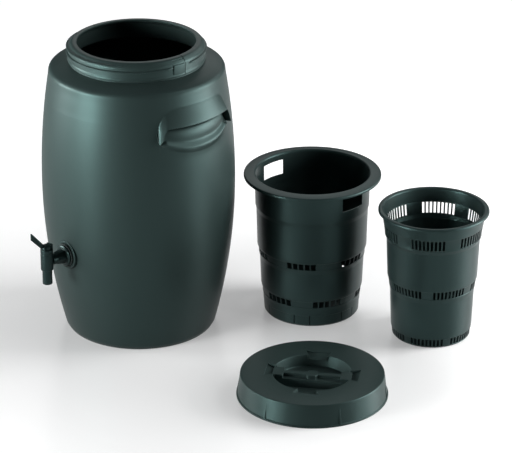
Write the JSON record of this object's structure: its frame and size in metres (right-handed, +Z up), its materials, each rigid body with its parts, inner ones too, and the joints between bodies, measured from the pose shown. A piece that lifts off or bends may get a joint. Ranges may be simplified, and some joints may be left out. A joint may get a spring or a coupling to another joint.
{
  "type": "liquid fertilizer composter",
  "caption": "Bulged barrel with a wide screw neck, moulded hand grips and a tap, shown with its screw lid and two nesting slotted baskets taken out.",
  "frame": {"origin": "on the floor, at the middle of the set's plan: the barrel stands to the -X side, the lid and baskets to the +X side", "axes": "+Z up; the barrel's tap looks along -Y and its hand grips lie along -X and +X of its axis"},
  "size_m": [0.851, 0.8079, 0.625],
  "materials": {
    "barrel_plastic": "dull moulded dark green-grey",
    "lid_plastic": "satin moulded dark green-grey",
    "basket_plastic": "satin injection moulded dark green-grey",
    "tap_plastic": "smooth moulded near-black green",
    "seal_rubber": "black rubber"
  },
  "bodies": {
    "barrel": {"barrel_shell": "barrel_plastic", "tap_housing": "tap_plastic", "tap_outer_washer": "seal_rubber", "tap_inner_washer": "seal_rubber", "tap_lock_nut": "tap_plastic"},
    "tap_valve": {"tap_plug": "tap_plastic", "tap_lever": "tap_plastic", "plug_seal_upper": "seal_rubber", "plug_seal_lower": "seal_rubber"},
    "lid_carrier": {"lid_seal": "seal_rubber"},
    "lid": {"lid_shell": "lid_plastic"},
    "outer_basket": {"outer_basket": "basket_plastic"},
    "inner_basket": {"inner_basket": "basket_plastic"}
  },
  "joints": [
    {"name": "tap_turn", "type": "hinge", "parent": "barrel", "child": "tap_valve", "pos_m": [-0.2255, -0.36495, 0.206], "axis": [0, 0, 1], "range_deg": [-90, 90]},
    {"name": "lid_lift", "type": "slide", "parent": "barrel", "child": "lid_carrier", "axis": [0, 0, 1], "range_m": [0, 0.1]},
    {"name": "lid_turn", "type": "hinge", "parent": "lid_carrier", "child": "lid", "pos_m": [0.2728, -0.08865, 0], "axis": [0, 0, 1], "range_deg": [0, 360]},
    {"name": "outer_basket_lift", "type": "slide", "parent": "barrel", "child": "outer_basket", "axis": [0, 0, 1], "range_m": [0, 0.33]},
    {"name": "inner_basket_lift", "type": "slide", "parent": "barrel", "child": "inner_basket", "axis": [0, 0, 1], "range_m": [0, 0.3]}
  ]
}
